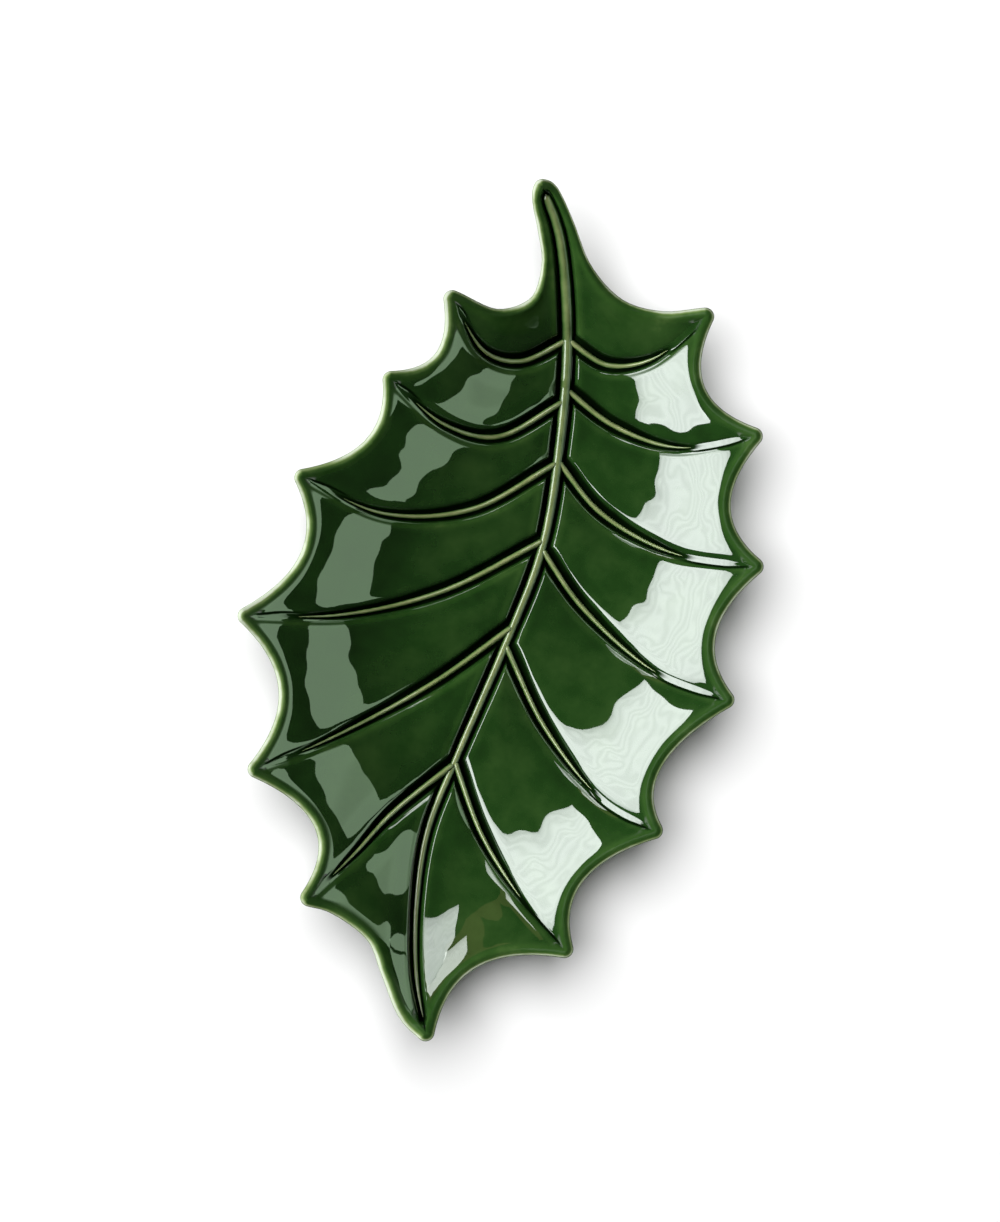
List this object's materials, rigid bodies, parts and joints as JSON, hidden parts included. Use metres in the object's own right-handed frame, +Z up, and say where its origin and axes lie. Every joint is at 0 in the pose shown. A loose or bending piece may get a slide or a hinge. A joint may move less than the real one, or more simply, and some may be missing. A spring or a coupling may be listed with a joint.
{
  "type": "leaf platter",
  "caption": "Shallow glazed ceramic serving platter in the outline of a spiny leaf, with raised ribs lying in channels and an oval foot ring.",
  "frame": {"origin": "under the middle of the leaf's outline, at the level that the foot ring stands on", "axes": "+Y along the leaf from its tip to its stalk, +X to the right of the leaf seen from above, +Z up"},
  "size_m": [0.2014, 0.3402, 0.0411],
  "materials": {
    "leaf_glaze": "glossy dark green glaze, paler where it runs thin over the edges",
    "rib_glaze": "glossy green glaze, thin over the ribs",
    "bare_clay": "unglazed, matt"
  },
  "bodies": {
    "root": {"leaf_dish": "leaf_glaze", "midrib": "rib_glaze", "left_vein_1": "rib_glaze", "left_vein_2": "rib_glaze", "left_vein_3": "rib_glaze", "left_vein_4": "rib_glaze", "left_vein_5": "rib_glaze", "left_vein_6": "rib_glaze", "right_vein_1": "rib_glaze", "right_vein_2": "rib_glaze", "right_vein_3": "rib_glaze", "right_vein_4": "rib_glaze", "right_vein_5": "rib_glaze", "right_vein_6": "rib_glaze", "foot_ring": "bare_clay"}
  },
  "joints": []
}
